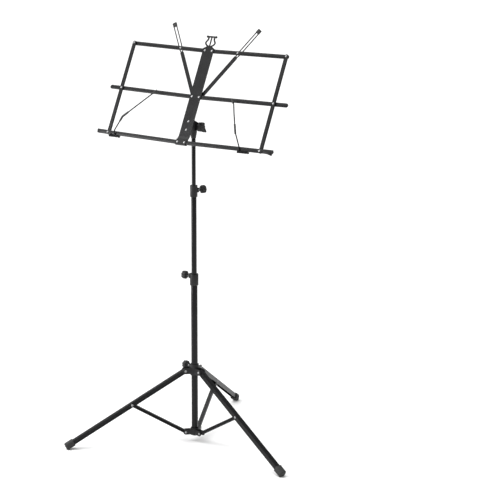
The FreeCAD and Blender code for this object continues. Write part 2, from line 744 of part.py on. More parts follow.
def bars(side, tag):
    pin = "pivot_pin_radius"
    loose = "pivot_pin_radius + pin_play"
    top = channel_bar(["0", "side_reach"], "side_reach", "bar_width", loose)
    shank_hole = Part.makeCylinder(1.0, 20, Vector(size("slot_reach"), 10, 0), Vector(0, -1, 0))
    drill = doc.addObject("Part::Feature", "Drill")
    drill.Shape = shank_hole
    keep(tag + "top_bar", cut(top, drill), bar_place(side, TOP_ROW, BAR_BACK))
    middle = channel_bar(["0", "side_reach"], "long_reach", "bar_width", loose)
    keep(tag + "middle_bar", middle, bar_place(side, 0, BAR_BACK))
    ledge_reach, flare = ("long_reach", 4.2) if side > 0 else ("left_ledge_reach", 0)
    ledge = channel_bar(["0", "side_reach"], ledge_reach, "bar_width", loose)
    keep(tag + "ledge_bar", fuse(ledge, ledge_end(ledge_reach, flare)),
         bar_place(side, LOW_ROW, size("ledge_back")))
    down = channel_bar(["0", "row_pitch", "2 * row_pitch"], "2 * row_pitch", "bar_width", pin)
    rise = math.radians(size("wing_rise"))
    corner_x = side * (size("pivot_half") + size("side_reach") * math.cos(rise))
    corner_z = TOP_ROW + size("side_reach") * math.sin(rise)
    downward = Rotation(Y_AXIS, 90)
    keep(tag + "side_bar", down, DESK.multiply(at(corner_x, -size("side_back"), corner_z, downward)))
    side_front = size("side_back") + size("bar_depth")
    cap = size("pivot_head_radius")
    web_back = FLAT_FRONT - size("bar_sheet") - size("layer_play")
    spans = [
        (0, web_back, side_front),
        (size("row_pitch"), web_back, side_front),
        (2 * size("row_pitch"), side_front - size("bar_sheet"), LEDGE_FRONT + size("layer_play")),
    ]
    rivets = []
    for drop, tail, head in spans:
        seat = at(corner_x, -tail, corner_z - drop, FRONTWARD)
        rivets.append(placed(rivet(size(pin), head - tail, cap, cap), seat))
    feature(tag + "side_rivets", group(rivets), DESK)


def slot_rivet(side, tag):
    """A slim pin on the top bar that runs between the wires of the page arm's loop."""
    tail = ARM_BACK - 0.1
    shape = rivet(1.0, FLAT_FRONT - tail, 2.4, 3.1)
    place = bar_place(side, TOP_ROW, 0).multiply(at(size("slot_reach"), -tail, 0, FRONTWARD))
    feature(tag + "slot_rivet", shape, place)


def page_arm(side, tag):
    """The arm behind each wing: a channel, a wire loop and a rubber tip."""
    arm = channel_bar(["0"], "page_arm_length", "page_arm_width", "pivot_pin_radius + pin_play", "3")
    turned = along_bar(side, 90 - size("page_arm_angle"))
    place = DESK.multiply(at(side * size("pivot_half"), -ARM_BACK, 0, turned))
    keep(tag + "page_arm", arm, place)
    wire = size("loop_wire_radius")
    depth = -(size("bar_depth") - size("bar_sheet") - wire - 0.05)
    reach = size("page_arm_reach") - wire
    half = size("loop_half")
    tucked = 2.1
    one_side = [(96, tucked), (127.5, tucked), (135, half), (reach, half)]
    both = one_side + [(x, -z) for x, z in reversed(one_side)]
    loop = rod([Vector(x, depth, z) for x, z in both], half - 0.05, wire)
    feature(tag + "page_arm_wire", loop, place)
    tip = Part.makeBox(11.5, 4.2, 11.2, Vector(reach - 8.5, depth - 2.1, -5.6))
    tip = tip.makeFillet(1.9, tip.Edges)
    feature(tag + "page_arm_tip", tip.cut(loop), place)


def page_clip(side, tag, base, arm_start, depth, corners, sleeve_corners):
    """A sprung wire under the ledge that leans over the page; corners are (along, up) pairs."""
    up = side
    place = bar_place(side, LOW_ROW, 0)
    drop = -size("clip_axis_drop")
    axis_y = -size("clip_axis_depth")
    wire = size("clip_wire_radius")
    coil = size("clip_coil_radius")
    half_coil = 11.0
    half_bracket = 14.0
    lug_sheet = 1.5
    pin = size("clip_pin_radius")

    def spot(along, forward, height):
        return Vector(along, -forward, up * height)

    under = -size("bar_width") / 2
    lug_profile = [(1.0, under), (1.0, under - 3.2), (5.4, under - 5.6), (9.3, under - 5.6)]
    lug_profile += [(10.4, under - 4.2), (10.4, under - 1.8), (8.6, under)]
    shapes = []
    for end in (-half_bracket, half_bracket - lug_sheet):
        corners_there = [spot(base + end, forward, height) for forward, height in lug_profile]
        shapes.append(plate(corners_there, Vector(lug_sheet, 0, 0)))
    back = [spot(base - half_bracket, forward, height) for forward, height in
            ((1.0, under), (1.9, under), (1.9, under - 3.2), (1.0, under - 3.2))]
    shapes.append(plate(back, Vector(2 * half_bracket, 0, 0)))
    pin_start = Vector(base - half_bracket - 0.5, axis_y, up * drop)
    shapes.append(Part.makeCylinder(pin, 2 * half_bracket + 1, pin_start, X_AXIS))
    bracket = shapes[0].multiFuse(shapes[1:]).removeSplitter()
    feature(tag + "clip_bracket", bracket, place)

    coil_start = Vector(base - half_coil, axis_y, up * drop)
    ring = Part.makeCylinder(coil, 2 * half_coil, coil_start, X_AXIS)
    ring = ring.cut(Part.makeCylinder(pin + 3 * size("pin_play"), 2 * half_coil, coil_start, X_AXIS))
    front = size("clip_axis_depth") + pin + 2 * size("pin_play") + wire
    path = [spot(arm_start, front, drop), spot(arm_start, front, drop + 4)]
    path += [spot(along, depth, height) for along, height in corners]
    arm = rod(path, 6.0, wire)
    wire_shape = ring.fuse(arm).removeSplitter()
    feature(tag + "clip_wire", wire_shape, place)
    sleeves = []
    for run in sleeve_corners:
        sleeve = rod([spot(along, depth, height) for along, height in run], 6.0, size("clip_sleeve_radius"))
        sleeves.append(sleeve.cut(arm))
    feature(tag + "clip_sleeves", group(sleeves), place)


def build_desk():
    spine_plate()
    tilt_bracket()
    tilt_bolt_and_knob()
    spine_rivets()
    for side, tag in ((-1, "left_"), (1, "right_")):
        bars(side, tag)
        slot_rivet(side, tag)
        page_arm(side, tag)
    left_arm = [(181.7, 5.0), (170.3, 41.0), (95.9, 114.8)]
    left_sleeves = [[(174, 29.3), (170.3, 41.0), (158.0, 53.2)], [(103.7, 107.1), (95.2, 115.5)]]
    page_clip(-1, "left_", 183.0, 181.7, 14.05, left_arm, left_sleeves)
    right_arm = [(151.5, 3.0), (131.3, 36.8), (114.7, 81.9), (107.9, 102.7), (100.0, 113.9)]
    right_sleeves = [[(132.2, 34.3), (124.5, 55.3)], [(105.2, 106.5), (99.4, 114.7)]]
    page_clip(1, "right_", 162.6, 153.0, 9.95, right_arm, right_sleeves)


build_tripod()
build_pole()
build_desk()
doc.recompute()

for obj in doc.Objects:
    faults = {"Invalid", "Error"} & set(obj.State)
    if faults:
        raise RuntimeError(f"{obj.Name} ({obj.Label}) failed: {obj.State}")
for name, obj in nodes.items():
    if obj.Shape.isNull() or not obj.Shape.isValid():
        raise RuntimeError(f"{name} has no valid shape")
    obj.Shape.exportStep(f"parts/{name}.step")
    print(f"{name:24s} solids {len(obj.Shape.Solids)} volume {obj.Shape.Volume:10.1f}")
print(len(nodes), "sub-parts")
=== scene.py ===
import json
import math

import bmesh
import bpy
from mathutils import Matrix, Vector


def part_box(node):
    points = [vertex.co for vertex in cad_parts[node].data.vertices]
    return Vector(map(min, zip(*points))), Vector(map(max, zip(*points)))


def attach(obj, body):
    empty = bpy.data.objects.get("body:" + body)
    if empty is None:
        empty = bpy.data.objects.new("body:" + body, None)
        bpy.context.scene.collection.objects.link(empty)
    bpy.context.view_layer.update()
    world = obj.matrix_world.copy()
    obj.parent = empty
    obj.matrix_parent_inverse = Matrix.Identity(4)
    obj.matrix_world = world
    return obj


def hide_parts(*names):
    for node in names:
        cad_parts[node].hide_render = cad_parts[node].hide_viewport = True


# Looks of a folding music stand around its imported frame. +Z is up, the desk runs along X and the
# musician stands on the -Y side. The scene is in metres; MM turns millimetres into them.

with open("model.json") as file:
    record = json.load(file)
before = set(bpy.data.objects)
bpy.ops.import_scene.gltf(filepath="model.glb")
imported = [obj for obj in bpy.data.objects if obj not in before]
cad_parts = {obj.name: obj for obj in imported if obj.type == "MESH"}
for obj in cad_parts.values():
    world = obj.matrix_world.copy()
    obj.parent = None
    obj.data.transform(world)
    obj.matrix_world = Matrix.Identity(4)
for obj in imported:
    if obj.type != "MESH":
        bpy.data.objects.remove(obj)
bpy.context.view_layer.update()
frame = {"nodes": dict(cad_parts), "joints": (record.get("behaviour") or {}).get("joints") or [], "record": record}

MM = 0.001
NODES = frame["nodes"]
RECORD = frame["record"]
JOINTS = {joint["name"]: joint for joint in frame["joints"]}
SLOT_OF = {row["node"]: row["material_slot"] for row in RECORD["subparts"]}
BODY_OF = {
    node: body
    for body, members in RECORD["behaviour"]["bodies"].items()
    for node in members
}
X_AXIS = Vector((1, 0, 0))
Y_AXIS = Vector((0, 1, 0))
Z_AXIS = Vector((0, 0, 1))
SIDES = ("left_", "right_")


# ---- places read from the frame ---------------------------------------------------------------

NEARLY_UPRIGHT = 0.9


def pivot(joint):
    return Vector(JOINTS[joint]["pos_m"])


def axis(joint):
    return Vector(JOINTS[joint]["axis"]).normalized()


def basis(origin, x_way, y_way, z_way):
    """The matrix of a local frame with these three directions."""
    turned = Matrix((x_way, y_way, z_way)).transposed().to_4x4()
    return Matrix.Translation(origin) @ turned


def along_axis(origin, way):
    """A local frame whose Z runs along a direction."""
    z_way = way.normalized()
    helper = Z_AXIS if abs(z_way.z) < NEARLY_UPRIGHT else X_AXIS
    x_way = helper.cross(z_way).normalized()
    return basis(origin, x_way, z_way.cross(x_way), z_way)


def extent(node, place):
    """Lowest and highest corner of a CAD node in a local frame."""
    back = place.inverted()
    points = [back @ vertex.co for vertex in NODES[node].data.vertices]
    low = Vector([min(point[i] for point in points) for i in range(3)])
    high = Vector([max(point[i] for point in points) for i in range(3)])
    return low, high


FRONT = axis("right_middle_fold")
DESK_UP = FRONT.cross(X_AXIS)


def wing_frame(side, joint):
    """X out along a wing's bar from its pivot, Y to the front, Z up the desk."""
    along = (pivot(side + "side_fold") - pivot(side + "wing_fold")).normalized()
    up = FRONT.cross(along)
    if up.dot(DESK_UP) < 0:
        up = -up
    return basis(pivot(joint), along, FRONT, up)


def side_frame(side):
    """X down a side bar from its top pivot."""
    return basis(pivot(side + "side_fold"), -DESK_UP, FRONT, X_AXIS)


def leg_frame(number):
    """X down along a leg from its collar pivot, Y across it, Z off its top face."""
    top = pivot("collar_hinge")
    down = (pivot("leg_1_hinge") - top).normalized()
    across = axis("tripod_fold")
    first = basis(top, down, across, down.cross(across))
    return Matrix.Rotation(math.radians(120 * number), 4, "Z") @ first


# ---- material helpers -------------------------------------------------------------------------

# Most of a noise texture's values lie between these two.
NOISE_LOW = 0.3
NOISE_HIGH = 0.7
# The pointiness of an outer edge lies above the first and reaches the second on a sharp one.
EDGE_FROM = 0.52
EDGE_FULL = 0.62


def grey(level, cool=0.0005):
    """A neutral colour with its blue raised by a little."""
    return (level, level, level + cool)


def new_surface(name, roughness, metallic=0.0):
    """A material with its shader and object coordinates ready to link."""
    made = bpy.data.materials.new(name)
    made.use_nodes = True
    tree = made.node_tree
    shader = tree.nodes["Principled BSDF"]
    shader.inputs["Roughness"].default_value = roughness
    shader.inputs["Metallic"].default_value = metallic
    place = tree.nodes.new("ShaderNodeTexCoord").outputs["Object"]
    return made, tree, shader, place


def noise(tree, place, scale, detail=3.0, stretch=None):
    if stretch:
        mapping = tree.nodes.new("ShaderNodeMapping")
        mapping.inputs["Scale"].default_value = stretch
        tree.links.new(place, mapping.inputs["Vector"])
        place = mapping.outputs["Vector"]
    texture = tree.nodes.new("ShaderNodeTexNoise")
    texture.inputs["Scale"].default_value = scale
    texture.inputs["Detail"].default_value = detail
    tree.links.new(place, texture.inputs["Vector"])
    return texture.outputs["Fac"]


def ramp(tree, factor, dark, light, low=NOISE_LOW, high=NOISE_HIGH):
    """Two colours spread over a factor from low to high."""
    made = tree.nodes.new("ShaderNodeValToRGB")
    for element, position, colour in zip(made.color_ramp.elements, (low, high), (dark, light)):
        element.position = position
        element.color = (*colour, 1.0)
    tree.links.new(factor, made.inputs["Fac"])
    return made.outputs["Color"]


def map_range(tree, factor, low, high):
    """A node that maps a factor between low and high to 0 to 1."""
    made = tree.nodes.new("ShaderNodeMapRange")
    made.inputs["From Min"].default_value = low
    made.inputs["From Max"].default_value = high
    tree.links.new(factor, made.inputs["Value"])
    return made


def spread(tree, shader, factor, low, high):
    """Roughness that wanders between low and high with a noise."""
    made = map_range(tree, factor, NOISE_LOW, NOISE_HIGH)
    made.inputs["To Min"].default_value = low
    made.inputs["To Max"].default_value = high
    tree.links.new(made.outputs["Result"], shader.inputs["Roughness"])


def bump(tree, shader, factor, strength, distance):
    made = tree.nodes.new("ShaderNodeBump")
    made.inputs["Strength"].default_value = strength
    made.inputs["Distance"].default_value = distance
    tree.links.new(factor, made.inputs["Height"])
    tree.links.new(made.outputs["Normal"], shader.inputs["Normal"])


def edge_wear_and_sheen(tree, share):
    """A share of lighter colour on outer edges and none on flat faces: partly rubbed wear and partly a painted
    sheen.
    """
    geometry = tree.nodes.new("ShaderNodeNewGeometry")
    mask = map_range(tree, geometry.outputs["Pointiness"], EDGE_FROM, EDGE_FULL)
    wear_and_sheen = tree.nodes.new("ShaderNodeMath")
    wear_and_sheen.operation = "MULTIPLY"
    wear_and_sheen.inputs[1].default_value = share
    tree.links.new(mask.outputs["Result"], wear_and_sheen.inputs[0])
    return wear_and_sheen.outputs[0]


# ---- materials --------------------------------------------------------------------------------

# How much lighter the paint's outer edges are painted, partly as rubbed wear and partly as a painted sheen.
EDGE_WEAR_AND_SHEEN_SHARE = 0.35
EDGE_WEAR_AND_SHEEN_BRIGHTER = 2.2
MOULDED_GLOSS = 0.28
PAPER_GLOSS = 0.2


def paint(name, dark, light, roughness, gloss):
    """Satin sprayed paint: cloudy tone, orange peel and outer edges painted lighter, partly as rubbed wear and
    partly as a painted sheen.
    """
    made, tree, shader, place = new_surface(name, roughness)
    shader.inputs["Specular IOR Level"].default_value = gloss
    tone = ramp(tree, noise(tree, place, scale=38.0, detail=4.0), dark, light)
    # Painted sheen and rubbed wear: a lighter colour mixed in on outer edges.
    mixed = tree.nodes.new("ShaderNodeMix")
    mixed.data_type = "RGBA"
    mixed.inputs["B"].default_value = (*[EDGE_WEAR_AND_SHEEN_BRIGHTER * part for part in light], 1.0)
    tree.links.new(edge_wear_and_sheen(tree, EDGE_WEAR_AND_SHEEN_SHARE), mixed.inputs["Factor"])
    tree.links.new(tone, mixed.inputs["A"])
    tree.links.new(mixed.outputs["Result"], shader.inputs["Base Color"])
    smear = noise(tree, place, scale=120.0, detail=2.0)
    spread(tree, shader, smear, roughness - 0.03, roughness + 0.04)
    peel = noise(tree, place, scale=950.0, detail=2.0)
    bump(tree, shader, peel, strength=0.22, distance=0.12 * MM)
    return made


def moulded(name, dark, light, roughness, grain):
    """Moulded plastic: a fine even grain and slow changes of tone."""
    made, tree, shader, place = new_surface(name, roughness)
    shader.inputs["Specular IOR Level"].default_value = MOULDED_GLOSS
    tone = ramp(tree, noise(tree, place, scale=90.0), dark, light)
    tree.links.new(tone, shader.inputs["Base Color"])
    smear = noise(tree, place, scale=300.0, detail=2.0)
    spread(tree, shader, smear, roughness - 0.06, roughness + 0.08)
    pits = noise(tree, place, scale=2600.0, detail=2.0)
    bump(tree, shader, pits, strength=grain, distance=0.1 * MM)
    return made


def rubber(name):
    """Matt rubber with a little dust."""
    made, tree, shader, place = new_surface(name, roughness=0.75)
    specks = noise(tree, place, scale=160.0, detail=5.0)
    dust = ramp(tree, specks, grey(0.012, 0.0), grey(0.028, 0.0), low=0.35, high=0.75)
    tree.links.new(dust, shader.inputs["Base Color"])
    spread(tree, shader, noise(tree, place, scale=420.0), low=0.68, high=0.86)
    bump(tree, shader, noise(tree, place, scale=1800.0), strength=0.45, distance=0.18 * MM)
    return made


def plated(name, dark, light, roughness, stretch):
    """Plated steel: fine drawn lines and a faint cloud in the plating."""
    made, tree, shader, place = new_surface(name, roughness, metallic=1.0)
    tone = ramp(tree, noise(tree, place, scale=220.0, detail=4.0), dark, light)
    tree.links.new(tone, shader.inputs["Base Color"])
    lines = noise(tree, place, scale=1.0, stretch=stretch)
    spread(tree, shader, lines, roughness - 0.06, roughness + 0.1)
    bump(tree, shader, lines, strength=0.15, distance=0.06 * MM)
    return made


def pale_floor():
    """Matt studio paper, nearly white."""
    made, tree, shader, place = new_surface("pale_floor", roughness=0.85)
    clouds = noise(tree, place, scale=3.0, detail=2.0)
    tone = ramp(tree, clouds, grey(0.86, 0.0), grey(0.88, 0.0))
    tree.links.new(tone, shader.inputs["Base Color"])
    shader.inputs["Specular IOR Level"].default_value = PAPER_GLOSS
    return made


MATERIALS = {
    "desk_black": paint("desk_black", grey(0.004), grey(0.008), roughness=0.34, gloss=0.2),
    "leg_black": paint("leg_black", grey(0.0035), grey(0.006), roughness=0.26, gloss=0.16),
    "tube_black": paint("tube_black", grey(0.0035), grey(0.006), roughness=0.2, gloss=0.2),
    "clamp_plastic": moulded(
        "clamp_plastic", grey(0.006), grey(0.011), roughness=0.42, grain=0.3
    ),
    "knob_plastic": moulded(
        "knob_plastic", grey(0.008), grey(0.015), roughness=0.46, grain=0.4
    ),
    "guide_plastic": moulded(
        "guide_plastic", grey(0.27, -0.005), grey(0.33, -0.01), roughness=0.5, grain=0.2
    ),
    "black_rubber": rubber("black_rubber"),
    "rivet_steel": plated(
        "rivet_steel", grey(0.26, 0.005), grey(0.38, 0.005), roughness=0.42,
        stretch=(1500, 1500, 2500),
    ),
    "screw_steel": plated(
        "screw_steel", grey(0.6, 0.0), grey(0.8, -0.01), roughness=0.28,
        stretch=(3000, 3000, 900),
    ),
    "spring_wire": paint("spring_wire", grey(0.004), grey(0.008), roughness=0.42, gloss=0.16),
}


# ---- mesh helpers -----------------------------------------------------------------------------

SMOOTH_ANGLE = 38
# Rings of a wire's domed end, from its tip inward: the ring's radius, and how far it stands past
# the straight wire's last ring, both as shares of the wire's radius.
DOME = ((0.1, 0.9), (0.5, 0.5), (0.85, 0.15))


def skin(rings, mesh=None):
    """A closed mesh through rings of equally many points, capped at both ends."""
    mesh = mesh or bmesh.new()
    rows = [[mesh.verts.new(point) for point in ring] for ring in rings]
    count = len(rings[0])
    for row, next_row in zip(rows, rows[1:]):
        for index in range(count):
            after = (index + 1) % count
            mesh.faces.new((row[index], row[after], next_row[after], next_row[index]))
    mesh.faces.new(rows[0][::-1])
    mesh.faces.new(rows[-1])
    return mesh


def piece(name, mesh, place, slot, body, stands_for=(), floor=None):
    """Turn a mesh in a local frame into a piece that rides on its body."""
    mesh.transform(place)
    if floor is not None:
        for vertex in mesh.verts:
            vertex.co.z = max(vertex.co.z, floor)
    bmesh.ops.recalc_face_normals(mesh, faces=mesh.faces)
    data = bpy.data.meshes.new(name)
    mesh.to_mesh(data)
    mesh.free()
    data.shade_smooth()
    data.set_sharp_from_angle(angle=math.radians(SMOOTH_ANGLE))
    data.materials.append(MATERIALS[slot])
    made = bpy.data.objects.new(name, data)
    bpy.context.scene.collection.objects.link(made)
    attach(made, body)
    if stands_for:
        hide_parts(*stands_for)
    return made


def stand_in(name, node, mesh, place, floor=None):
    """A finer piece for one CAD node, on the same body and with the same finish."""
    return piece(name, mesh, place, SLOT_OF[node], BODY_OF[node], [node], floor)


def circle(radius, height, count):
    turns = [math.tau * step / count for step in range(count)]
    return [Vector((radius * math.cos(turn), radius * math.sin(turn), height)) for turn in turns]


def lathe(profile, count=64):
    """Turned round Z from (height, radius) pairs."""
    return skin([circle(radius, height, count) for height, radius in profile])


def squircle(centre, half_a, half_b, way_a, way_b, count, power):
    """A rounded rectangle's outline; a higher power has tighter corners."""
    points = []
    for step in range(count):
        turn = math.tau * step / count
        c, s = math.cos(turn), math.sin(turn)
        a = math.copysign(abs(c) ** (2 / power), c)
        b = math.copysign(abs(s) ** (2 / power), s)
        points.append(centre + way_a * (half_a * a) + way_b * (half_b * b))
    return points


def rounded(points, radius, steps=8):
    """The points of straight runs joined by tangent arcs."""
    made = [points[0]]
    for before, corner, after in zip(points, points[1:], points[2:]):
        way_in = (corner - before).normalized()
        way_out = (after - corner).normalized()
        half_turn = way_in.angle(way_out) / 2
        back = radius * math.tan(half_turn)
        inward = (way_out - way_in).normalized()
        centre = corner + inward * (radius / math.cos(half_turn))
        start = corner - way_in * back - centre
        turn_axis = way_in.cross(way_out).normalized()
        for step in range(steps + 1):
            turned = Matrix.Rotation(2 * half_turn * step / steps, 3, turn_axis) @ start
            made.append(centre + turned)
    made.append(points[-1])
    return made


def wire(points, radius, sides=14, mesh=None):
    """A round wire with domed ends, its rings carried along the path without twist."""
    ways = [(after - before).normalized() for before, after in zip(points, points[1:])]
    ways = [ways[0]] + [(a + b).normalized() for a, b in zip(ways, ways[1:])] + [ways[-1]]
    across = ways[0].orthogonal().normalized()
    rings = []
    for index, (point, way) in enumerate(zip(points, ways)):
        across = (across - way * across.dot(way)).normalized()
        other = way.cross(across)
        ring = []
        for step in range(sides):
            turn = math.tau * step / sides
            ring.append((across * math.cos(turn) + other * math.sin(turn)) * radius)
        if index == 0:
            for size, out in DOME:
                rings.append([point - way * (radius * out) + offset * size for offset in ring])
        rings.append([point + offset for offset in ring])
        if index == len(points) - 1:
            for size, out in reversed(DOME):
                rings.append([point + way * (radius * out) + offset * size for offset in ring])
    return skin(rings, mesh)


# ---- CAD nodes that stay ----------------------------------------------------------------------

# The edge radius of a node, or of its numbered kind, in millimetres.
EDGE_ROUND = {
    "spine_plate": 0.22,
    "tilt_bracket": 0.35,
    "tilt_head": 0.7,
    "lower_clamp": 0.7,
    "middle_clamp": 0.7,
    "leg_collar": 0.6,
    "tube_hub": 0.6,
    "lower_tube": 0.25,
    "middle_tube": 0.25,
    "upper_tube": 0.25,
    "left_page_arm": 0.25,
    "right_page_arm": 0.25,
    "left_clip_bracket": 0.25,
    "right_clip_bracket": 0.25,
    "leg": 0.45,
    "brace": 0.4,
}
BEVEL_ANGLE = 40
WELD_GAP = 0.01 * MM
SLEEVE_GROWTH = 0.8 * MM


def edge_round(node):
    kind = node.rsplit("_", 1)[0] if node[-1].isdigit() else node
    return EDGE_ROUND.get(kind)


def weld(obj):
    """Join the doubled points along a CAD mesh's edges."""
    obj.modifiers.new("weld", "WELD").merge_threshold = WELD_GAP


def soften(obj, width):
    """Rounded edges over a CAD node's own mesh."""
    weld(obj)
    bevel = obj.modifiers.new("edges", "BEVEL")
    bevel.width = width * MM
    bevel.segments = 3
    bevel.limit_method = "ANGLE"
    bevel.angle_limit = math.radians(BEVEL_ANGLE)
    bevel.harden_normals = True


def fatten(obj, growth):
    """A rubber sleeve that stands proud of its CAD tube."""
    weld(obj)
    swell = obj.modifiers.new("swell", "DISPLACE")
    swell.strength = growth
    swell.mid_level = 0.0


def finish_cad_nodes():
    for node, obj in NODES.items():
        obj.data.materials.clear()
        obj.data.materials.append(MATERIALS[SLOT_OF[node]])
        width = edge_round(node)
        if width:
            soften(obj, width)
        if node.endswith("clip_sleeves"):
            fatten(obj, SLEEVE_GROWTH)


# ---- pressed bars -----------------------------------------------------------------------------

SHEET = 0.8 * MM
PRESS_RADIUS = 1.5 * MM
PRESS_STEPS = 6
INNER_BEND = 1.0 * MM
RAW_EDGE = 0.1 * MM
CROWN = 0.35 * MM
# The crest stays this far under a flattened end's face.
CREST_DROP = 0.05 * MM

FLAT_LENGTH = 26 * MM
FLARE_LENGTH = 13 * MM
TIP_SLANT = 2.9 * MM
TIP_CORNER = 0.8 * MM
# Share of the outline, and depth in millimetres under the face.
FLAT_LAYERS = ((0.94, 0.8), (1.0, 0.65), (1.0, 0.15), (0.94, 0.0))

# Each bar that turns on the spine, with its joint.
WING_BARS = (("top", "wing_fold"), ("middle", "middle_fold"), ("ledge", "ledge_fold"))


def stadium(reach, half, depth, steps=18):
    """The outline of a bar with round ends, from its pivot to its far end."""
    ring = []
    for end, start in ((reach, -90), (0.0, 90)):
        for step in range(steps + 1):
            turn = math.radians(start + 180 * step / steps)
            ring.append(Vector((end + half * math.cos(turn), depth, half * math.sin(turn))))
    return ring


def channel_levels(half, back, front):
    """(half width, depth) from the hollow's ceiling round the flange and up to the crest."""
    inner = half - SHEET
    ceiling = front - CROWN - SHEET
    levels = [
        (inner - INNER_BEND, ceiling),
        (inner - 0.3 * INNER_BEND, ceiling - 0.3 * INNER_BEND),
        (inner, ceiling - INNER_BEND),
        (inner, back + RAW_EDGE),
        (inner + RAW_EDGE, back),
        (half - 2 * RAW_EDGE, back),
        (half, back + 2 * RAW_EDGE),
    ]
    for step in range(PRESS_STEPS + 1):
        turn = math.pi / 2 * step / PRESS_STEPS
        width = half - PRESS_RADIUS * (1 - math.cos(turn))
        levels.append((width, front - CROWN - PRESS_RADIUS * (1 - math.sin(turn))))
    flat = half - PRESS_RADIUS
    levels.append((0.75 * flat, front - 0.45 * CROWN))
    levels.append((0.45 * flat, front - 0.1 * CROWN))
    levels.append((0.15 * flat, front - CREST_DROP))
    return levels


def pressed_bar(name, node, place):
    """A channel with round ends, rolled edges and a slightly crowned web."""
    low, high = extent(node, place)
    half = high.z
    levels = channel_levels(half, low.y, high.y)
    mesh = skin([stadium(high.x - half, width, depth) for width, depth in levels])
    if node.endswith("ledge_bar"):
        flat_end(mesh, high.x, half, low.z, high.y)
    return stand_in(name, node, mesh, place)


def flat_end(mesh, end, half, low, front):
    """The flattened, square end, which may widen downward, with softened edges."""
    start = end - FLAT_LENGTH
    bow = 0.3 * (low + half)
    corners = [
        (start, half),
        (start, -half),
        (end - FLARE_LENGTH, -half + bow),
        (end - TIP_SLANT, low),
        (end - 2 * TIP_CORNER, low + TIP_CORNER),
        (end, half - TIP_CORNER),
        (end - TIP_CORNER, half),
    ]
    middle_x = (start + end) / 2
    middle_z = (half + low) / 2
    rings = []
    for inset, depth in FLAT_LAYERS:
        ring = []
        for x, z in corners:
            near_x = middle_x + (x - middle_x) * inset
            near_z = middle_z + (z - middle_z) * inset
            ring.append(Vector((near_x, front - depth * MM, near_z)))
        rings.append(ring)
    skin(rings, mesh)


def build_bars():
    for side in SIDES:
        for bar, joint in WING_BARS:
            pressed_bar(f"{side}{bar}_rail", f"{side}{bar}_bar", wing_frame(side, side + joint))
        pressed_bar(side + "side_rail", side + "side_bar", side_frame(side))


# ---- page clips -------------------------------------------------------------------------------

ARM_WIRE = 1.5 * MM
ARM_BEND = 6.0 * MM
ARM_OVERLAP = 1.6 * MM
COIL_WIRE = 0.95 * MM
COIL_RADIUS = 1.84 * MM
COIL_PITCH = 2.0 * MM
COIL_STEPS = 20
HALF_COIL = 10.0 * MM
TAIL = 5.0 * MM
LIFT = 4.0 * MM
# In millimetres from the ledge bar's pivot: where the arm leaves the coil along the bar, how far
# the arm stands in front, and the arm's bends as (along the bar, up the desk).
ARM_START = {"left_": 181.7, "right_": 153.0}
ARM_DEPTH = {"left_": 14.05, "right_": 9.95}
ARM_BENDS = {
    "left_": [(181.7, 5.0), (170.3, 41.0), (95.9, 114.8)],
    "right_": [(151.5, 3.0), (131.3, 36.8), (114.7, 81.9), (107.9, 102.7), (100.0, 113.9)],
}
# The coil goes on past the arm where more than this many turns are left. The gap leaves room for
# the arm, and the turn is the angle in radians at which that second coil ends beside it.
LEAST_TURNS = 3
SECOND_COIL_GAP = 1.15 * COIL_PITCH
SECOND_COIL_TURN = 0.9


def coil(hub, start, end, finish_turn=0.0):
    """A close-wound helix round the pin, from one place along it to another."""
    turns = abs(end - start) / COIL_PITCH
    count = round(turns * COIL_STEPS)
    points = []
    for step in range(count + 1):
        share = step / count
        turn = math.tau * turns * (share - 1) + finish_turn
        offset = Y_AXIS * math.cos(turn) + Z_AXIS * math.sin(turn)
        points.append(hub + X_AXIS * (start + (end - start) * share) + offset * COIL_RADIUS)
    return points


def page_clip(side):
    """The sprung wire: a short tail, the coil on its pin and the bent arm over the page."""
    place = wing_frame(side, side + "ledge_fold")
    pin = place.inverted() @ pivot(side + "clip_swing")
    hub = Vector((0.0, pin.y, pin.z))
    arm_start = ARM_START[side] * MM
    wound = coil(hub, pin.x + HALF_COIL, arm_start)
    tail = wound[0] + (wound[0] - wound[1]).normalized() * TAIL
    lift = wound[-1] + Z_AXIS * LIFT
    bends = [Vector((along, ARM_DEPTH[side], height)) * MM for along, height in ARM_BENDS[side]]
    arm = rounded([lift - Z_AXIS * ARM_OVERLAP, lift] + bends, ARM_BEND)
    mesh = wire([tail] + wound + [lift], COIL_WIRE)
    wire(arm, ARM_WIRE, mesh=mesh)
    left_over = arm_start - (pin.x - HALF_COIL)
    if left_over > LEAST_TURNS * COIL_PITCH:
        second = coil(hub, pin.x - HALF_COIL, arm_start - SECOND_COIL_GAP, SECOND_COIL_TURN)
        wire(second, COIL_WIRE, mesh=mesh)
    stand_in(side + "clip_spring", side + "clip_wire", mesh, place)


# ---- knobs and screws -------------------------------------------------------------------------

LOBES = 7
GROOVE_SHARE = 0.19
# (height, radius, share of the lobes) in millimetres, from the neck over the rim to the boss.
KNOB_PROFILE = (
    (0.0, 3.0, 0.0), (0.0, 3.9, 0.0), (0.35, 4.2, 0.0), (2.8, 5.0, 0.0), (3.6, 5.8, 0.1),
    (4.05, 7.3, 0.4), (4.5, 8.6, 0.9), (5.3, 9.5, 1.0), (6.6, 9.85, 1.0), (8.0, 9.9, 1.0),
    (11.5, 9.9, 1.0), (13.6, 9.8, 1.0), (14.9, 9.4, 1.0), (15.65, 8.8, 0.9), (16.0, 8.0, 0.6),
    (15.95, 7.4, 0.2), (15.6, 6.8, 0.0), (14.8, 6.2, 0.0), (14.6, 5.4, 0.0), (14.6, 3.4, 0.0),
    (14.9, 3.0, 0.0), (15.0, 1.6, 0.0), (15.0, 0.4, 0.0),
)

THREAD_PITCH = 0.8 * MM
THREAD_DEPTH = 0.42 * MM
THREAD_ROWS = 8
THREAD_SIDES = 28
LEAD_LENGTH = 1.2 * MM
LEAD_SHARE = 0.55

WING_LEAN = 18.4
HUB_LENGTH = 6.2 * MM
HUB_RADIUS = 10.9 * MM
WING_ROOT = 8.0 * MM
WING_SLICES = 44
WING_TIP = 2.6 * MM


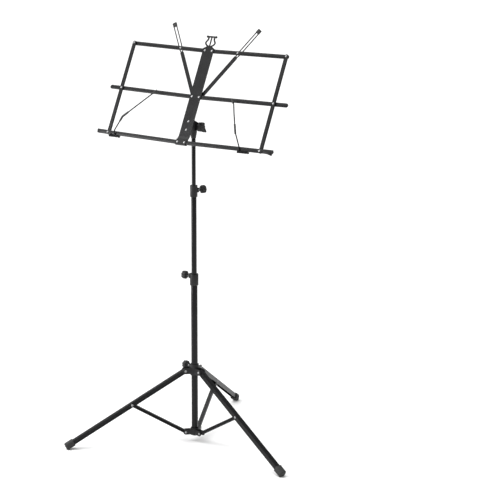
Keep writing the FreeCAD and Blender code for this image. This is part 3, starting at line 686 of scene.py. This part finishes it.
def knob_ring(height, radius, lobed, count=140):
    points = []
    for step in range(count):
        turn = math.tau * step / count
        groove = (0.5 + 0.5 * math.cos(LOBES * turn)) ** 3
        reach = radius * (1 - GROOVE_SHARE * lobed * groove)
        points.append(Vector((reach * math.cos(turn), reach * math.sin(turn), height)))
    return points


def thumb_knob(node, joint):
    """A seven-lobed hand knob with a neck, a dished face and a small centre boss."""
    place = along_axis(pivot(joint), axis(joint))
    low, _ = extent(node, place)
    rings = [
        knob_ring(low.z + height * MM, radius * MM, lobed)
        for height, radius, lobed in KNOB_PROFILE
    ]
    stand_in(node + "_grip", node, skin(rings), place)
    threaded_screw(node + "_screw", place)


def threaded_screw(node, place):
    """A machine screw with its thread as a travelling groove and a tapered start."""
    low, high = extent(node, place)
    radius = high.x
    start, end = low.z, high.z
    rows = round((end - start) / THREAD_PITCH * THREAD_ROWS)
    rings = []
    for row in range(rows + 1):
        height = start + (end - start) * row / rows
        lead = min(1.0, (height - start) / LEAD_LENGTH + LEAD_SHARE)
        ring = []
        for step in range(THREAD_SIDES):
            phase = (height / THREAD_PITCH - step / THREAD_SIDES) % 1.0
            reach = lead * (radius - THREAD_DEPTH * abs(2 * phase - 1))
            turn = math.tau * step / THREAD_SIDES
            ring.append(Vector((reach * math.cos(turn), reach * math.sin(turn), height)))
        rings.append(ring)
    stand_in(node + "_thread", node, skin(rings), place)


def wing_knob():
    """The tilt lock: a round hub and two flared wings with soft edges."""
    lean = Matrix.Rotation(math.radians(WING_LEAN), 4, "X")
    place = Matrix.Translation(pivot("tilt_knob_turn")) @ lean
    low, high = extent("tilt_knob", place)
    start, end, span = low.x, high.x, high.z
    hub_end = start + HUB_LENGTH
    mesh = lathe(
        [
            (start, 6.0 * MM),
            (start, 10.2 * MM),
            (start + 0.6 * MM, HUB_RADIUS),
            (hub_end, HUB_RADIUS),
            (hub_end + 0.9 * MM, 10.3 * MM),
            (hub_end + 1.3 * MM, 9.2 * MM),
            (hub_end + 2.2 * MM, 6.8 * MM),
            (end - 4.5 * MM, 4.9 * MM),
            (end - 3.6 * MM, 4.3 * MM),
        ],
        count=56,
    )
    mesh.transform(Matrix.Rotation(math.radians(90), 4, "Y"))
    rings = []
    for index in range(WING_SLICES + 1):
        share = -1 + 2 * index / WING_SLICES
        height = share * span * 0.999
        away = abs(height)
        slope = max(0.0, away - WING_ROOT) / (span - WING_ROOT)
        inner = start + (2.2 + 5.0 * slope ** 1.3) * MM
        outer = end - 2.2 * MM * math.cos(share * math.pi / 2) ** 2
        fade = max(0.0, away - (span - WING_TIP)) / WING_TIP
        ease = math.sqrt(max(0.02, 1 - fade * fade))
        middle = (inner + outer) / 2
        half_long = (outer - inner) / 2 * (0.6 + 0.4 * ease)
        half_thick = (3.3 - 1.0 * abs(share)) * MM * ease
        centre = Vector((middle + (outer - middle - half_long) * 0.5, 0, height))
        rings.append(
            squircle(centre, half_long, half_thick, X_AXIS, Y_AXIS, count=36, power=3.2)
        )
    skin(rings, mesh)
    stand_in("tilt_wing_grip", "tilt_knob", mesh, place)


# ---- feet and tube plug -----------------------------------------------------------------------

# Along a foot, in millimetres: its first rib, the step from rib to rib, and the plain toe.
FIRST_RIB = 5.2
RIB_STEP = 3.3
PLAIN_TOE = 7.0
# Share of the full section on the ribs and in the grooves.
RIB_SHARE = 0.985
GROOVE_FLOOR = 0.945


def foot_profile(length):
    """(place along the foot, share of its full section) from the open lip to the closed toe."""
    rows = [(0.0, 0.72), (0.0, 0.93), (0.5, 1.0), (2.6, 1.0), (3.0, 0.955)]
    rib = FIRST_RIB
    while rib < length - PLAIN_TOE:
        rows += [
            (rib - 0.5, 0.955),
            (rib, RIB_SHARE),
            (rib + 1.1, RIB_SHARE),
            (rib + 1.6, GROOVE_FLOOR),
            (rib + 2.3, GROOVE_FLOOR),
        ]
        rib += RIB_STEP
    rows += [(length - 5.2, RIB_SHARE), (length - 2.6, 0.97), (length - 1.1, 0.91)]
    rows += [(length - 0.3, 0.8), (length, 0.62), (length, 0.25)]
    return rows


def rubber_foot(number):
    """A ribbed rubber boot on a leg's end, worn flat where it meets the floor."""
    node = f"leg_foot_{number + 1}"
    place = leg_frame(number)
    low, high = extent(node, place)
    half_wide = (high.y - low.y) / 2
    half_deep = high.z
    rings = []
    for along, share in foot_profile((high.x - low.x) / MM):
        centre = Vector((low.x + along * MM, 0, 0))
        wide, deep = half_wide * share, half_deep * share
        rings.append(squircle(centre, wide, deep, Y_AXIS, Z_AXIS, count=56, power=4.5))
    stand_in(f"rubber_boot_{number + 1}", node, skin(rings), place, floor=0.0)


def tube_plug():
    """The moulded plug in the pole's lower end, inside the hub, with three ribs in the bore."""
    hub_low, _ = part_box("tube_hub")
    tube_low, tube_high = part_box("lower_tube")
    bottom = hub_low.z
    seat = tube_low.z
    bore = tube_high.x - 1.0 * MM
    head = bore + 0.6 * MM
    rib_top = bore - 0.05 * MM
    rib_foot = bore - 0.35 * MM
    profile = [
        (bottom + 0.9 * MM, 1.0 * MM),
        (bottom + 0.9 * MM, 3.4 * MM),
        (bottom + 0.2 * MM, 4.2 * MM),
        (bottom, 5.4 * MM),
        (bottom, 7.2 * MM),
        (bottom + 0.2 * MM, head),
        (seat - 0.02 * MM, head),
        (seat, rib_top),
    ]
    for rib in range(3):
        base = seat + (1.5 + 2.2 * rib) * MM
        profile += [(base, rib_foot), (base + 0.6 * MM, rib_top), (base + 1.2 * MM, rib_foot)]
    profile.append((seat + 9.0 * MM, bore - 1.2 * MM))
    body = BODY_OF["lower_tube"]
    piece("pole_end_plug", lathe(profile), Matrix.Identity(4), "clamp_plastic", body)


# ---- studio -----------------------------------------------------------------------------------

FLOOR_REACH = 60.0
FLOOR_DROP = 0.3 * MM
SUN_POWER = 3.0
SUN_ANGLE = 70
SUN_LEAN = (14, -12, 0)
SKY_STRENGTH = 0.5
# Name, height of the aim on the pole, azimuth, elevation, distance, width and power.
SOFT_BOXES = (
    ("desk_key", 0.8, -40, 11, 0.75, 0.34, 3.4),
    ("pole_key", 0.5, -52, 2, 1.9, 0.7, 14),
    ("fill", 0.5, 100, 25, 3.2, 1.6, 5),
)

SENSOR_WIDTH = 36.0
FOCAL_LENGTH = 124.42
SHIFT_X = 0.0501
SHIFT_Y = 0.0101
CAMERA_PLACE = (2.2615, -3.318, 1.5235)
CAMERA_TURN = (75.34, 0, 33.22)


def in_radians(degrees):
    return tuple(math.radians(angle) for angle in degrees)


def floor():
    mesh = bmesh.new()
    reach = FLOOR_REACH
    corners = [(-reach, -reach), (reach, -reach), (reach, reach), (-reach, reach)]
    mesh.faces.new([mesh.verts.new((x, y, -FLOOR_DROP)) for x, y in corners])
    data = bpy.data.meshes.new("floor")
    mesh.to_mesh(data)
    mesh.free()
    data.materials.append(pale_floor())
    made = bpy.data.objects.new("floor", data)
    bpy.context.scene.collection.objects.link(made)


def soft_box(name, height, azimuth, elevation, distance, width, power):
    """A large square lamp aimed at a height on the pole."""
    target = Vector((0, 0, height))
    turn = math.radians(azimuth)
    rise = math.radians(elevation)
    level = math.cos(rise)
    way = Vector((math.sin(turn) * level, -math.cos(turn) * level, math.sin(rise)))
    lamp = bpy.data.lights.new(name, "AREA")
    lamp.size = width
    lamp.energy = power
    made = bpy.data.objects.new(name, lamp)
    made.location = target + way * distance
    made.rotation_euler = (-way).to_track_quat("-Z", "Y").to_euler()
    made.visible_camera = False
    bpy.context.scene.collection.objects.link(made)


def overhead_sun():
    """A wide, even light from above that keeps the whole floor pale."""
    lamp = bpy.data.lights.new("overhead", "SUN")
    lamp.energy = SUN_POWER
    lamp.angle = math.radians(SUN_ANGLE)
    made = bpy.data.objects.new("overhead", lamp)
    made.rotation_euler = in_radians(SUN_LEAN)
    bpy.context.scene.collection.objects.link(made)


def sky():
    """An even white surround."""
    world = bpy.data.worlds.new("studio")
    world.use_nodes = True
    background = world.node_tree.nodes["Background"]
    background.inputs["Color"].default_value = (1.0, 1.0, 1.0, 1.0)
    background.inputs["Strength"].default_value = SKY_STRENGTH
    bpy.context.scene.world = world


def studio():
    floor()
    overhead_sun()
    for row in SOFT_BOXES:
        soft_box(*row)
    sky()
    bpy.context.scene.view_settings.view_transform = "Standard"


def camera():
    """A long lens in front and to the right, a little above the object."""
    lens = bpy.data.cameras.new("camera")
    lens.sensor_width = SENSOR_WIDTH
    lens.lens = FOCAL_LENGTH
    lens.shift_x = SHIFT_X
    lens.shift_y = SHIFT_Y
    made = bpy.data.objects.new("camera", lens)
    made.location = CAMERA_PLACE
    made.rotation_euler = in_radians(CAMERA_TURN)
    bpy.context.scene.collection.objects.link(made)
    bpy.context.scene.camera = made


finish_cad_nodes()
build_bars()
for side in SIDES:
    page_clip(side)
thumb_knob("lower_knob", "lower_knob_turn")
thumb_knob("middle_knob", "middle_knob_turn")
thumb_knob("collar_knob", "collar_knob_turn")
wing_knob()
for number in range(3):
    rubber_foot(number)
tube_plug()
studio()
camera()
